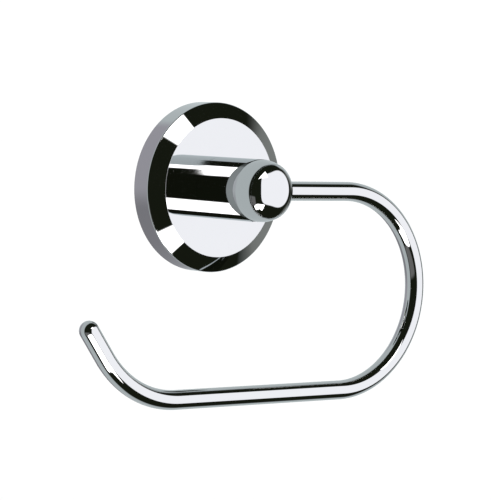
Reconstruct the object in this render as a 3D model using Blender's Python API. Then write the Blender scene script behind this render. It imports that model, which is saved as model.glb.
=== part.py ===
"""Wall-mounted toilet paper holder: a round rosette, a short post and a swinging open arm.

Frame: the wall is the plane y = 0 and the holder stands out from it towards -Y. X is to the
right, Z is up, and the origin is the centre of the rosette on the wall. A depth is a distance
out from the wall, so a point at depth d has y = -d. All lengths are in metres.
"""

from math import acos, cos, pi, radians, sin

import bmesh
import bpy
from mathutils import Matrix, Vector

MM = 0.001
GAP = 0.3 * MM  # clearance left between neighbouring solids

# Rosette: the bevelled cover
ROSETTE_RADIUS = 27.5 * MM
ROSETTE_SIDE_DEPTH = 7.2 * MM
ROSETTE_DEPTH = 9.9 * MM
FACE_RADIUS = 22.4 * MM
ROSETTE_EDGE = 0.4 * MM
ROSETTE_INNER_RADIUS = 24.5 * MM
FACE_THICKNESS = 2.0 * MM
FACE_UNDERSIDE = ROSETTE_DEPTH - FACE_THICKNESS
INNER_CHAMFER = 3.4 * MM
INNER_CHAMFER_DEPTH = 1.9 * MM

# Post: straight, then rounded in by a wide arc, a tight one and the dome. An angle of 90
# degrees is the straight side and 0 is the middle of the dome.
POST_RADIUS = 10.0 * MM
POST_BASE = ROSETTE_DEPTH + GAP
SIDE_ROUND_START = 29.6 * MM
SIDE_ROUND = 15.0 * MM
SIDE_ROUND_ANGLE = radians(70)
EDGE_ROUND = 3.7 * MM
CAP_SEAM_ANGLE = radians(55)
DOME_ANGLE = radians(30)
CAP_SPIGOT_RADIUS = 6.0 * MM
CAP_SPIGOT_LENGTH = 1.0 * MM

# Arm: the bent rod, and the turned pivot at its inner end
ROD_RADIUS = 3.1 * MM
ARM_DEPTH = 30.0 * MM
TOP_LEG_END = 36.3 * MM
RIGHT_BEND_RADIUS = 32.5 * MM
LOWER_LEG_END = -31.7 * MM
LEFT_BEND_RADIUS = 34.3 * MM
LEFT_BEND_ANGLE = radians(54)
TIP_LENGTH = 10.4 * MM  # straight part, up to the centre of the round tip
RIGHT_BEND_STEPS = 28
LEFT_BEND_STEPS = 10
TIP_STEPS = 5
LOWER_LEG_Z = -2 * RIGHT_BEND_RADIUS
PIVOT_RADIUS = 2.2 * MM
PIVOT_END = -7.0 * MM
PIVOT_SHOULDER = 8.9 * MM
GROOVE_RADIUS = 1.5 * MM
GROOVE_HALF_WIDTH = 1.4 * MM

# Bushes in the post's cross-bore
CROSS_BORE_RADIUS = ROD_RADIUS + GAP
CROSS_BORE_END = PIVOT_END - GAP
BUSH_RADIUS = CROSS_BORE_RADIUS - GAP
BUSH_BORE = PIVOT_RADIUS + GAP
BUSH_INNER_END = 2.6 * MM
BUSH_OUTER_END = PIVOT_SHOULDER - GAP

# Dog-point screw that holds the arm, from below
DOG_SCREW_RADIUS = 2.0 * MM
DOG_SCREW_TOP = -3.4 * MM
DOG_SCREW_BOTTOM = -9.2 * MM
DOG_RADIUS = 1.0 * MM
DOG_TIP = -GROOVE_RADIUS - GAP

# Wall bracket
BRACKET_RIM_RADIUS = ROSETTE_INNER_RADIUS - GAP
BRACKET_BACK_RADIUS = 20.4 * MM
BRACKET_PAD_RADIUS = 7.0 * MM  # flat pad on the wall, between the two screws
BRACKET_RING_RADIUS = 18.4 * MM  # inner edge of the ring that lies on the wall
BRACKET_RELIEF = 0.6 * MM  # the back stands this far off the wall between pad and ring
BRACKET_BEVEL_DEPTH = 4.0 * MM
BRACKET_DEPTH = 5.0 * MM
BRACKET_RECESS_RADIUS = 7.6 * MM
BRACKET_WEB = 1.5 * MM
SLOT_HALF_LENGTH = 2.0 * MM
SCREW_HEIGHT = 13.0 * MM

# Wall screws and plugs
WALL_SCREW_RADIUS = 2.0 * MM
WALL_SCREW_ROOT = 1.5 * MM
WALL_SCREW_HEAD_RADIUS = 3.8 * MM
WALL_SCREW_HEAD_TOP = 4.7 * MM
WALL_SCREW_TIP = 21.0 * MM
THREAD_PITCH = 2.4 * MM
THREAD_START = 0.5 * MM
RECESS_ARM = 2.0 * MM
RECESS_HALF_WIDTH = 0.45 * MM
RECESS_DEPTH = 1.5 * MM
PLUG_RADIUS = 3.3 * MM
PLUG_RIB = 0.4 * MM
PLUG_LENGTH = 22.0 * MM
PLUG_RIBS = 6
PLUG_BORE = WALL_SCREW_RADIUS + GAP
PLUG_SLIT = 0.9 * MM
PLUG_SLIT_START = 7.0 * MM
PLUG_END = 1.0 * MM  # plain length before and after the ribs
PLUG_RIB_RISE = 0.3  # share of a rib's pitch that rises

# Screw, washers and pin that fix the post to the rosette
POST_SCREW_RADIUS = 2.5 * MM
POST_SCREW_HEAD_RADIUS = 4.5 * MM
POST_SCREW_HEAD_BACK = 2.2 * MM
POST_SCREW_HEAD_FRONT = 4.8 * MM
POST_SCREW_TIP = 20.5 * MM
TAPPED_END = 22.0 * MM
POST_SCREW_SOCKET = 1.75 * MM
SPRING_WASHER = (5.1 * MM, 6.3 * MM)
SPRING_WASHER_RADIUS = 4.4 * MM
WASHER_SPLIT = 0.6 * MM
WASHER_SPLIT_TILT = radians(25)
FLAT_WASHER = (6.6 * MM, 7.6 * MM)
FLAT_WASHER_RADIUS = 4.8 * MM
PIN_RADIUS = 1.2 * MM
PIN_HEIGHT = 6.6 * MM
PIN_BACK = 7.2 * MM
PIN_FRONT = 15.5 * MM
PIN_BORE_END = 16.0 * MM

# Grub screw that locks the rosette on the bracket, from below
GRUB_DEPTH = 2.9 * MM
GRUB_RADIUS = 2.0 * MM
GRUB_OUTER = 27.2 * MM
GRUB_TIP = 23.6 * MM
SOCKET_RADIUS = 1.15 * MM
SOCKET_DEPTH = 1.6 * MM

OVERCUT = 2.0 * MM  # a cutter runs this far past the face it opens
WELD = 0.002 * MM  # corners nearer than this are one corner

# Small bevels on edges
FINE_BEVEL = 0.2 * MM
BEVEL = 0.3 * MM
HEAD_BEVEL = 0.4 * MM
TIP_BEVEL = 0.5 * MM

# Facets of a full circle
ROUND_LARGE = 72
ROUND_POST = 48
ROUND_SMALL = 20
ROD_SIDES = 16
HEX = 6

OUT_OF_WALL = Vector((0, -1, 0))
INTO_WALL = Vector((0, 1, 0))
RIGHT = Vector((1, 0, 0))
UP = Vector((0, 0, 1))
DOWN = Vector((0, 0, -1))


def clear_scene():
    for obj in list(bpy.data.objects):
        bpy.data.objects.remove(obj)


def material(name, colour, roughness, metallic):
    made = bpy.data.materials.new(name)
    made.use_nodes = True
    shader = made.node_tree.nodes["Principled BSDF"]
    shader.inputs["Base Color"].default_value = (*colour, 1)
    shader.inputs["Roughness"].default_value = roughness
    shader.inputs["Metallic"].default_value = metallic
    return made


def chrome():
    return material("chrome_plate", (0.86, 0.86, 0.88), 0.04, 1)


def zinc():
    return material("cast_zinc", (0.55, 0.56, 0.57), 0.4, 1)


def steel():
    return material("plated_steel", (0.70, 0.70, 0.71), 0.25, 1)


def nylon():
    return material("nylon", (0.80, 0.79, 0.75), 0.5, 0)


def object_from(bm, name, surface=None):
    """A mesh object from bm, shaded smooth apart from its edges."""
    bmesh.ops.remove_doubles(bm, verts=bm.verts, dist=WELD)
    bmesh.ops.recalc_face_normals(bm, faces=bm.faces)
    mesh = bpy.data.meshes.new(name)
    bm.to_mesh(mesh)
    bm.free()
    mesh.shade_smooth()
    mesh.set_sharp_from_angle(angle=radians(30))
    obj = bpy.data.objects.new(name, mesh)
    bpy.context.collection.objects.link(obj)
    if surface:
        mesh.materials.append(surface)
    return obj


def axis_matrix(centre, direction):
    """Takes +Z to direction and the origin to centre."""
    turn = UP.rotation_difference(direction)
    return Matrix.Translation(centre) @ turn.to_matrix().to_4x4()


def turned_mesh(profile, centre, direction, steps, closed):
    """Spins (distance along direction, radius) points about the line through centre."""
    bm = bmesh.new()
    verts = [bm.verts.new((radius, 0, along)) for along, radius in profile]
    pairs = list(zip(verts, verts[1:]))
    if closed:
        pairs.append((verts[-1], verts[0]))
    edges = [bm.edges.new(pair) for pair in pairs]
    bmesh.ops.spin(
        bm,
        geom=verts + edges,
        cent=(0, 0, 0),
        axis=(0, 0, 1),
        angle=2 * pi,
        steps=steps,
        use_merge=True,
    )
    bmesh.ops.transform(bm, matrix=axis_matrix(centre, direction), verts=bm.verts)
    return bm


def turned(name, profile, surface, centre=(0, 0, 0), direction=OUT_OF_WALL, steps=ROUND_SMALL):
    """A solid of revolution whose profile starts and ends on its axis."""
    bm = turned_mesh(profile, centre, direction, steps, closed=False)
    return object_from(bm, name, surface)


def turned_ring(name, profile, surface, centre=(0, 0, 0), direction=OUT_OF_WALL, steps=ROUND_SMALL):
    """A solid of revolution with a hole along its axis: the profile is a closed loop."""
    bm = turned_mesh(profile, centre, direction, steps, closed=True)
    return object_from(bm, name, surface)


def cut(target, bm, name):
    """Takes the solid in bm out of target with a Boolean that stays on it."""
    cutter = object_from(bm, name)
    cutter.hide_render = True
    cutter.display_type = "WIRE"
    boolean = target.modifiers.new(name, "BOOLEAN")
    boolean.operation = "DIFFERENCE"
    boolean.solver = "EXACT"
    boolean.object = cutter


def drill(target, name, radius, start, end, centre, direction, steps=ROUND_SMALL):
    """Cuts a round hole, or a hexagonal one with six steps, between two distances."""
    profile = [(start, 0), (start, radius), (end, radius), (end, 0)]
    cut(target, turned_mesh(profile, centre, direction, steps, closed=False), name)


def arc(centre_along, centre_radius, radius, first, last, steps):
    """Points on a profile's arc; an angle of 90 degrees faces away from the axis."""
    angles = [first + (last - first) * step / steps for step in range(steps + 1)]
    return [(centre_along + radius * cos(a), centre_radius + radius * sin(a)) for a in angles]


def build_rosette(surface):
    """Chromed cover: straight side, bevel, flat face, hollow behind."""
    edge = ROSETTE_EDGE
    profile = [
        (0, ROSETTE_RADIUS - FINE_BEVEL),
        (FINE_BEVEL, ROSETTE_RADIUS),
        (ROSETTE_SIDE_DEPTH - edge, ROSETTE_RADIUS),
        (ROSETTE_SIDE_DEPTH - edge / 4, ROSETTE_RADIUS - edge / 4),
        (ROSETTE_SIDE_DEPTH + edge / 3, ROSETTE_RADIUS - edge),
        (ROSETTE_DEPTH - edge / 4, FACE_RADIUS + edge / 2),
        (ROSETTE_DEPTH, FACE_RADIUS),
        (ROSETTE_DEPTH, POST_SCREW_RADIUS + GAP),
        (FACE_UNDERSIDE, POST_SCREW_RADIUS + GAP),
        (FACE_UNDERSIDE, ROSETTE_INNER_RADIUS - INNER_CHAMFER),
        (FACE_UNDERSIDE - INNER_CHAMFER_DEPTH, ROSETTE_INNER_RADIUS),
        (0, ROSETTE_INNER_RADIUS),
    ]
    cover = turned_ring("rosette", profile, surface, steps=ROUND_LARGE)
    pin_at = (0, 0, PIN_HEIGHT)
    near = FACE_UNDERSIDE - OVERCUT
    far = ROSETTE_DEPTH + OVERCUT
    drill(cover, "pin_hole", PIN_RADIUS + GAP, near, far, pin_at, OUT_OF_WALL)
    grub_at = (0, -GRUB_DEPTH, 0)
    near = ROSETTE_INNER_RADIUS - OVERCUT
    far = ROSETTE_RADIUS + OVERCUT
    drill(cover, "grub_hole", GRUB_RADIUS + GAP, near, far, grub_at, DOWN)


def slot_cutter(height):
    """A countersunk slot through the bracket, lying along X."""
    head_gap = WALL_SCREW_HEAD_RADIUS + 1.5 * GAP
    neck = WALL_SCREW_RADIUS + 1.5 * GAP
    slope = head_gap - neck
    levels = [
        (-OVERCUT, neck),
        (WALL_SCREW_HEAD_TOP - slope, neck),
        (WALL_SCREW_HEAD_TOP, head_gap),
        (BRACKET_DEPTH + OVERCUT, head_gap),
    ]
    bm = bmesh.new()
    rings = []
    for depth, radius in levels:
        ring = []
        for side in range(ROUND_SMALL):
            angle = 2 * pi * (side + 0.5) / ROUND_SMALL
            middle = SLOT_HALF_LENGTH if cos(angle) > 0 else -SLOT_HALF_LENGTH
            x = middle + radius * cos(angle)
            ring.append(bm.verts.new((x, -depth, height + radius * sin(angle))))
        rings.append(ring)
    for near, far in zip(rings, rings[1:]):
        for side in range(ROUND_SMALL):
            after = (side + 1) % ROUND_SMALL
            bm.faces.new((near[side], near[after], far[after], far[side]))
    bm.faces.new(rings[0])
    bm.faces.new(rings[-1])
    return bm


def build_wall_bracket(surface):
    """Cast disc on the wall; its rim widens outwards, so that the grub screw draws on it."""
    profile = [
        (0, 0),
        (0, BRACKET_PAD_RADIUS),
        (BRACKET_RELIEF, BRACKET_PAD_RADIUS),
        (BRACKET_RELIEF, BRACKET_RING_RADIUS),
        (0, BRACKET_RING_RADIUS),
        (0, BRACKET_BACK_RADIUS),
        (BRACKET_BEVEL_DEPTH, BRACKET_RIM_RADIUS),
        (BRACKET_DEPTH - BEVEL, BRACKET_RIM_RADIUS),
        (BRACKET_DEPTH, BRACKET_RIM_RADIUS - BEVEL),
        (BRACKET_DEPTH, BRACKET_RECESS_RADIUS),
        (BRACKET_WEB, BRACKET_RECESS_RADIUS),
        (BRACKET_WEB, 0),
    ]
    bracket = turned("wall_bracket", profile, surface, steps=ROUND_POST)
    for place, height in (("upper", SCREW_HEIGHT), ("lower", -SCREW_HEIGHT)):
        cut(bracket, slot_cutter(height), "slot_" + place)


def wall_screw_profile():
    """Countersunk head, then a thread drawn as ridges, then the point."""
    head_slope = WALL_SCREW_HEAD_RADIUS - WALL_SCREW_RADIUS
    profile = [
        (WALL_SCREW_HEAD_TOP, 0),
        (WALL_SCREW_HEAD_TOP, WALL_SCREW_HEAD_RADIUS),
        (WALL_SCREW_HEAD_TOP - head_slope, WALL_SCREW_RADIUS),
    ]
    depth = -THREAD_START
    profile.append((depth, WALL_SCREW_RADIUS))
    while depth > -WALL_SCREW_TIP + 2 * THREAD_PITCH:
        profile.append((depth - THREAD_PITCH / 2, WALL_SCREW_ROOT))
        profile.append((depth - THREAD_PITCH, WALL_SCREW_RADIUS))
        depth -= THREAD_PITCH
    profile.append((depth - THREAD_PITCH / 2, WALL_SCREW_ROOT))
    profile.append((-WALL_SCREW_TIP, 0))
    return profile


def build_wall_screws(surface):
    for place, height in (("upper", SCREW_HEIGHT), ("lower", -SCREW_HEIGHT)):
        centre = (0, 0, height)
        screw = turned("wall_screw_" + place, wall_screw_profile(), surface, centre)
        bottom = WALL_SCREW_HEAD_TOP - RECESS_DEPTH
        top = WALL_SCREW_HEAD_TOP + OVERCUT
        for blade, turn in (("a", 0), ("b", pi / 2)):
            bm = bmesh.new()
            bmesh.ops.create_cube(bm, size=2)
            size = Vector((RECESS_ARM, (top - bottom) / 2, RECESS_HALF_WIDTH))
            bmesh.ops.scale(bm, vec=size, verts=bm.verts)
            place_at = Matrix.Translation((0, -(top + bottom) / 2, height))
            rotate = Matrix.Rotation(turn, 4, "Y")
            bmesh.ops.transform(bm, matrix=place_at @ rotate, verts=bm.verts)
            cut(screw, bm, "recess_" + place + "_" + blade)


def plug_profile():
    """Ribbed sleeve behind the wall surface, open at both ends."""
    pitch = (PLUG_LENGTH - 2 * PLUG_END) / PLUG_RIBS
    profile = [(GAP, PLUG_BORE), (GAP, PLUG_RADIUS)]
    for rib in range(PLUG_RIBS):
        start = PLUG_END + pitch * rib
        profile.append((start, PLUG_RADIUS))
        profile.append((start + PLUG_RIB_RISE * pitch, PLUG_RADIUS + PLUG_RIB))
    profile.append((PLUG_LENGTH - PLUG_END, PLUG_RADIUS))
    profile.append((PLUG_LENGTH, PLUG_RADIUS - TIP_BEVEL))
    profile.append((PLUG_LENGTH, PLUG_BORE))
    return profile


def build_wall_plugs(surface):
    for place, height in (("upper", SCREW_HEIGHT), ("lower", -SCREW_HEIGHT)):
        centre = (0, 0, height)
        plug = turned_ring("wall_plug_" + place, plug_profile(), surface, centre, INTO_WALL)
        bm = bmesh.new()
        bmesh.ops.create_cube(bm, size=1)
        length = PLUG_LENGTH - PLUG_SLIT_START + OVERCUT
        size = Vector((4 * PLUG_RADIUS, length, PLUG_SLIT))
        bmesh.ops.scale(bm, vec=size, verts=bm.verts)
        middle = Vector((0, PLUG_SLIT_START + length / 2, height))
        bmesh.ops.translate(bm, vec=middle, verts=bm.verts)
        cut(plug, bm, "slit_" + place)


def build_grub_screw(surface):
    """Cone-point screw under the rosette, with a hexagonal socket."""
    centre = (0, -GRUB_DEPTH, 0)
    profile = [
        (GRUB_TIP, 0),
        (GRUB_TIP + GRUB_RADIUS, GRUB_RADIUS),
        (GRUB_OUTER - FINE_BEVEL, GRUB_RADIUS),
        (GRUB_OUTER, GRUB_RADIUS - FINE_BEVEL),
        (GRUB_OUTER, 0),
    ]
    screw = turned("rosette_grub_screw", profile, surface, centre, DOWN)
    bottom = GRUB_OUTER - SOCKET_DEPTH
    top = GRUB_OUTER + OVERCUT
    drill(screw, "grub_socket", SOCKET_RADIUS, bottom, top, centre, DOWN, HEX)


def side_round_centre():
    """(depth, radius) of the centre of the wide arc at the end of the straight side."""
    return SIDE_ROUND_START, POST_RADIUS - SIDE_ROUND


def edge_round_centre():
    """(depth, radius) of the centre of the tight arc, which carries on from the wide one."""
    along, radius = side_round_centre()
    step = SIDE_ROUND - EDGE_ROUND
    return along + step * cos(SIDE_ROUND_ANGLE), radius + step * sin(SIDE_ROUND_ANGLE)


def cap_seam():
    """Depth at which the post ends and the cap begins, on the tight arc."""
    return edge_round_centre()[0] + EDGE_ROUND * cos(CAP_SEAM_ANGLE)


def build_post(surface):
    """Turned post: a straight shank with a rounded front, bored across for the arm."""
    seam = cap_seam()
    recess_floor = seam - CAP_SPIGOT_LENGTH
    profile = [(POST_BASE, 0), (POST_BASE, POST_RADIUS)]
    profile += arc(*side_round_centre(), SIDE_ROUND, pi / 2, SIDE_ROUND_ANGLE, 5)
    profile += arc(*edge_round_centre(), EDGE_ROUND, SIDE_ROUND_ANGLE, CAP_SEAM_ANGLE, 2)[1:]
    profile += [
        (seam, CAP_SPIGOT_RADIUS + GAP),
        (recess_floor, CAP_SPIGOT_RADIUS + GAP),
        (recess_floor, 0),
    ]
    post = turned("post", profile, surface, steps=ROUND_POST)
    behind = POST_BASE - OVERCUT
    beside = POST_RADIUS + OVERCUT
    on_axis = (0, 0, 0)
    tap = POST_SCREW_RADIUS + GAP
    drill(post, "tapped_hole", tap, behind, TAPPED_END, on_axis, OUT_OF_WALL)
    pin_at = (0, 0, PIN_HEIGHT)
    drill(post, "pin_bore", PIN_RADIUS + GAP, behind, PIN_BORE_END, pin_at, OUT_OF_WALL)
    arm_axis = (0, -ARM_DEPTH, 0)
    drill(post, "cross_bore", CROSS_BORE_RADIUS, CROSS_BORE_END, beside, arm_axis, RIGHT)
    screw_bore = DOG_SCREW_RADIUS + GAP
    drill(post, "screw_bore", screw_bore, PIVOT_RADIUS, beside, arm_axis, DOWN)


def build_end_cap(surface):
    """Domed front of the post, with a short spigot that presses into it."""
    centre_along, centre_radius = edge_round_centre()
    back = cap_seam() + GAP
    spigot_end = back - CAP_SPIGOT_LENGTH
    edge_angle = acos((back - centre_along) / EDGE_ROUND)
    edge = arc(centre_along, centre_radius, EDGE_ROUND, edge_angle, DOME_ANGLE, 3)
    dome_start, dome_edge = edge[-1]
    dome_radius = dome_edge / sin(DOME_ANGLE)
    dome_centre = dome_start - dome_radius * cos(DOME_ANGLE)
    dome = arc(dome_centre, 0, dome_radius, DOME_ANGLE, 0, 6)
    profile = [(spigot_end, 0), (spigot_end, CAP_SPIGOT_RADIUS), (back, CAP_SPIGOT_RADIUS)]
    turned("end_cap", profile + edge + dome[1:], surface, steps=ROUND_POST)


def build_post_screw(surface):
    """Machine screw that comes from behind the rosette's face into the post."""
    profile = [
        (POST_SCREW_HEAD_BACK, 0),
        (POST_SCREW_HEAD_BACK, POST_SCREW_HEAD_RADIUS - HEAD_BEVEL),
        (POST_SCREW_HEAD_BACK + HEAD_BEVEL, POST_SCREW_HEAD_RADIUS),
        (POST_SCREW_HEAD_FRONT, POST_SCREW_HEAD_RADIUS),
        (POST_SCREW_HEAD_FRONT, POST_SCREW_RADIUS),
        (POST_SCREW_TIP - TIP_BEVEL, POST_SCREW_RADIUS),
        (POST_SCREW_TIP, POST_SCREW_RADIUS - TIP_BEVEL),
        (POST_SCREW_TIP, 0),
    ]
    screw = turned("post_fixing_screw", profile, surface)
    start = POST_SCREW_HEAD_BACK - OVERCUT
    end = POST_SCREW_HEAD_BACK + SOCKET_DEPTH
    centre = (0, 0, 0)
    drill(screw, "post_socket", POST_SCREW_SOCKET, start, end, centre, OUT_OF_WALL, HEX)


def washer_profile(span, outer):
    back, front = span
    bore = POST_SCREW_RADIUS + GAP
    return [(back, bore), (back, outer), (front, outer), (front, bore)]


def build_washers(surface):
    """A flat washer, and a spring washer with its split."""
    flat = washer_profile(FLAT_WASHER, FLAT_WASHER_RADIUS)
    turned_ring("post_flat_washer", flat, surface)
    sprung = washer_profile(SPRING_WASHER, SPRING_WASHER_RADIUS)
    ring = turned_ring("post_spring_washer", sprung, surface)
    bm = bmesh.new()
    bmesh.ops.create_cube(bm, size=1)
    back, front = SPRING_WASHER
    size = Vector((WASHER_SPLIT, front - back + OVERCUT, SPRING_WASHER_RADIUS * 2))
    bmesh.ops.scale(bm, vec=size, verts=bm.verts)
    tilt = Matrix.Rotation(WASHER_SPLIT_TILT, 4, "Z")
    middle = Matrix.Translation((0, -(back + front) / 2, SPRING_WASHER_RADIUS))
    bmesh.ops.transform(bm, matrix=middle @ tilt, verts=bm.verts)
    cut(ring, bm, "washer_split")


def build_locating_pin(surface):
    profile = [
        (PIN_BACK, 0),
        (PIN_BACK, PIN_RADIUS - FINE_BEVEL),
        (PIN_BACK + FINE_BEVEL, PIN_RADIUS),
        (PIN_FRONT - FINE_BEVEL, PIN_RADIUS),
        (PIN_FRONT, PIN_RADIUS - FINE_BEVEL),
        (PIN_FRONT, 0),
    ]
    turned("post_locating_pin", profile, surface, (0, 0, PIN_HEIGHT))


def build_bushes(surface):
    """Two nylon sleeves, either side of the retaining screw."""
    centre = (0, -ARM_DEPTH, 0)
    spans = {
        "arm_bush_outer": (BUSH_INNER_END, BUSH_OUTER_END),
        "arm_bush_inner": (PIVOT_END, -BUSH_INNER_END),
    }
    for name, (start, end) in spans.items():
        loop = [
            (start, BUSH_BORE),
            (start, BUSH_RADIUS),
            (end, BUSH_RADIUS),
            (end, BUSH_BORE),
        ]
        turned_ring(name, loop, surface, centre, RIGHT)


def build_retaining_screw(surface):
    """Dog-point screw from below: its point runs in the groove of the arm's pivot."""
    centre = (0, -ARM_DEPTH, 0)
    profile = [
        (DOG_TIP, 0),
        (DOG_TIP, DOG_RADIUS),
        (DOG_SCREW_TOP, DOG_RADIUS),
        (DOG_SCREW_TOP - HEAD_BEVEL, DOG_SCREW_RADIUS),
        (DOG_SCREW_BOTTOM, DOG_SCREW_RADIUS),
        (DOG_SCREW_BOTTOM, 0),
    ]
    screw = turned("arm_retaining_screw", profile, surface, centre, UP)
    bottom = DOG_SCREW_BOTTOM - OVERCUT
    top = DOG_SCREW_BOTTOM + SOCKET_DEPTH
    drill(screw, "dog_socket", SOCKET_RADIUS, bottom, top, centre, UP, HEX)


def pivot_stations():
    """(x, radius) of the turned pivot, from its inner end to its shoulder."""
    return [
        (PIVOT_END, PIVOT_RADIUS - BEVEL),
        (PIVOT_END + BEVEL, PIVOT_RADIUS),
        (-GROOVE_HALF_WIDTH, PIVOT_RADIUS),
        (-GROOVE_HALF_WIDTH, GROOVE_RADIUS),
        (GROOVE_HALF_WIDTH, GROOVE_RADIUS),
        (GROOVE_HALF_WIDTH, PIVOT_RADIUS),
        (PIVOT_SHOULDER, PIVOT_RADIUS),
        (PIVOT_SHOULDER, ROD_RADIUS),
    ]


def arm_stations():
    """(point, direction, radius) along the rod's centre line, from pivot to tip."""
    along_top = Vector((1, 0, 0))
    stations = [(Vector((x, 0, 0)), along_top, radius) for x, radius in pivot_stations()]
    right_centre = Vector((TOP_LEG_END, 0, -RIGHT_BEND_RADIUS))
    for step in range(RIGHT_BEND_STEPS + 1):
        angle = pi * step / RIGHT_BEND_STEPS
        out = Vector((sin(angle), 0, cos(angle)))
        along = Vector((cos(angle), 0, -sin(angle)))
        stations.append((right_centre + RIGHT_BEND_RADIUS * out, along, ROD_RADIUS))
    left_centre = Vector((LOWER_LEG_END, 0, LOWER_LEG_Z + LEFT_BEND_RADIUS))
    for step in range(LEFT_BEND_STEPS + 1):
        angle = LEFT_BEND_ANGLE * step / LEFT_BEND_STEPS
        out = Vector((-sin(angle), 0, -cos(angle)))
        along = Vector((-cos(angle), 0, sin(angle)))
        stations.append((left_centre + LEFT_BEND_RADIUS * out, along, ROD_RADIUS))
    end, along, _ = stations[-1]
    ball = end + along * TIP_LENGTH
    for step in range(TIP_STEPS):
        angle = pi / 2 * step / TIP_STEPS
        centre = ball + along * ROD_RADIUS * sin(angle)
        stations.append((centre, along, ROD_RADIUS * cos(angle)))
    stations.append((ball + along * ROD_RADIUS, along, 0))
    return stations


def build_arm(surface):
    """The bent rod. Its origin is on the pivot's axis, which is the top leg's own axis."""
    bm = bmesh.new()
    sideways = Vector((0, 1, 0))
    rings = []
    for centre, along, radius in arm_stations():
        upwards = along.cross(sideways)
        ring = []
        for side in range(ROD_SIDES):
            angle = 2 * pi * side / ROD_SIDES
            offset = sideways * cos(angle) + upwards * sin(angle)
            ring.append(bm.verts.new(centre + radius * offset))
        rings.append(ring)
    for near, far in zip(rings, rings[1:]):
        for side in range(ROD_SIDES):
            after = (side + 1) % ROD_SIDES
            bm.faces.new((near[side], near[after], far[after], far[side]))
    bm.faces.new(rings[0])
    rod = object_from(bm, "arm_rod", surface)
    pivot = bpy.data.objects.new("arm_pivot", None)
    pivot.location = (0, -ARM_DEPTH, 0)
    bpy.context.collection.objects.link(pivot)
    rod.parent = pivot


def main():
    clear_scene()
    bright = chrome()
    cast = zinc()
    plated = steel()
    plastic = nylon()
    build_wall_bracket(cast)
    build_wall_screws(plated)
    build_wall_plugs(plastic)
    build_rosette(bright)
    build_grub_screw(plated)
    build_post(bright)
    build_end_cap(bright)
    build_post_screw(plated)
    build_washers(plated)
    build_locating_pin(plated)
    build_bushes(plastic)
    build_retaining_screw(plated)
    build_arm(bright)


main()
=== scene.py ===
"""Looks of the wall-mounted toilet paper holder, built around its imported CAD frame.

Frame: the wall is the plane y = 0, the holder stands out towards -Y, X is to the right and Z
is up. A depth is a distance out from the wall. Shape values named here are in millimetres,
and every mesh is made in metres.
"""

from math import acos, cos, pi, radians, sin, sqrt

import bmesh
import bpy
from mathutils import Matrix, Vector


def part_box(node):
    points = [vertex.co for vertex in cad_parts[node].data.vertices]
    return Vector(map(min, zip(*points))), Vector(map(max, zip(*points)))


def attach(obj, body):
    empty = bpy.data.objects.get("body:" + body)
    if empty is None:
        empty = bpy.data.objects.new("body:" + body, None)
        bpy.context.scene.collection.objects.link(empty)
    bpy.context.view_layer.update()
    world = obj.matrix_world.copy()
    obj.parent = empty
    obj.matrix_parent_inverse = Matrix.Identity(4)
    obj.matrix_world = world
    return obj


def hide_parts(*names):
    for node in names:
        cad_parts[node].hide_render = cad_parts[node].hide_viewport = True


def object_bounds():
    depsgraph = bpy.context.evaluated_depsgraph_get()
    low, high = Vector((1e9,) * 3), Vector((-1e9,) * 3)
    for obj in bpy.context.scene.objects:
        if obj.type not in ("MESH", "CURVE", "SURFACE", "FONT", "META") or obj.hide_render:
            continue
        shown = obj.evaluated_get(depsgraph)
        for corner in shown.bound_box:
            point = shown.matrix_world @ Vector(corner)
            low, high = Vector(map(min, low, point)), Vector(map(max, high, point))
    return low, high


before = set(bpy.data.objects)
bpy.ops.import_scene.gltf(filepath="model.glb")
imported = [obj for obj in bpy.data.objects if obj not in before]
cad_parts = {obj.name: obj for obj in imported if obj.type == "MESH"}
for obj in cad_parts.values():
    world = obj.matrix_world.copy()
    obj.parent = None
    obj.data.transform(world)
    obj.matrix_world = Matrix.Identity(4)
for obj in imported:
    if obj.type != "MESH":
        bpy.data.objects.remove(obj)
cad_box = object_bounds()

MM = 0.001
FITTING = "wall_fitting"
ARM = "arm"

OUT_OF_WALL = Vector((0, -1, 0))
INTO_WALL = Vector((0, 1, 0))
RIGHT = Vector((1, 0, 0))
UP = Vector((0, 0, 1))
DOWN = Vector((0, 0, -1))


def box_mm(node):
    """A CAD node's lowest and highest corners, in millimetres."""
    low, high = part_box(node)
    return low / MM, high / MM


# Sizes read from the frame
ROSETTE_LOW, ROSETTE_HIGH = box_mm("rosette")
ROSETTE_RADIUS = ROSETTE_HIGH.x
ROSETTE_DEPTH = -ROSETTE_LOW.y
POST_RADIUS = box_mm("post")[1].x
ARM_LOW, ARM_HIGH = box_mm("arm_rod")
ROD_RADIUS = ARM_HIGH.z
ARM_DEPTH = -(ARM_LOW.y + ARM_HIGH.y) / 2
RIGHT_BEND = (-ARM_LOW.z - ROD_RADIUS) / 2
TOP_LEG_END = ARM_HIGH.x - RIGHT_BEND - ROD_RADIUS
SCREW_HEIGHT = sum(corner.z for corner in box_mm("wall_screw_upper")) / 2
PLUG_END = box_mm("wall_plug_upper")[1].y
BRACKET_RIM = box_mm("wall_bracket")[1].x
BRACKET_DEPTH = -box_mm("wall_bracket")[0].y

# Rosette
SIDE_DEPTH = 7.2
FACE_RADIUS = 22.4
INNER_RADIUS = 24.5
FACE_THICKNESS = 2.0
INNER_CORNER = (1.9, 3.4)  # (depth, radius) cut off the hollow's front corner
FACE_HOLE = 2.8

# Post: straight, then rounded in by a wide arc, a tight one and the dome
SIDE_ROUND_START = 29.6
SIDE_ROUND = 15.0
SIDE_ROUND_ANGLE = radians(70)
EDGE_ROUND = 3.7
SEAM_ANGLE = radians(55)
DOME_ANGLE = radians(30)
SEAM_GAP = 0.04

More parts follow.
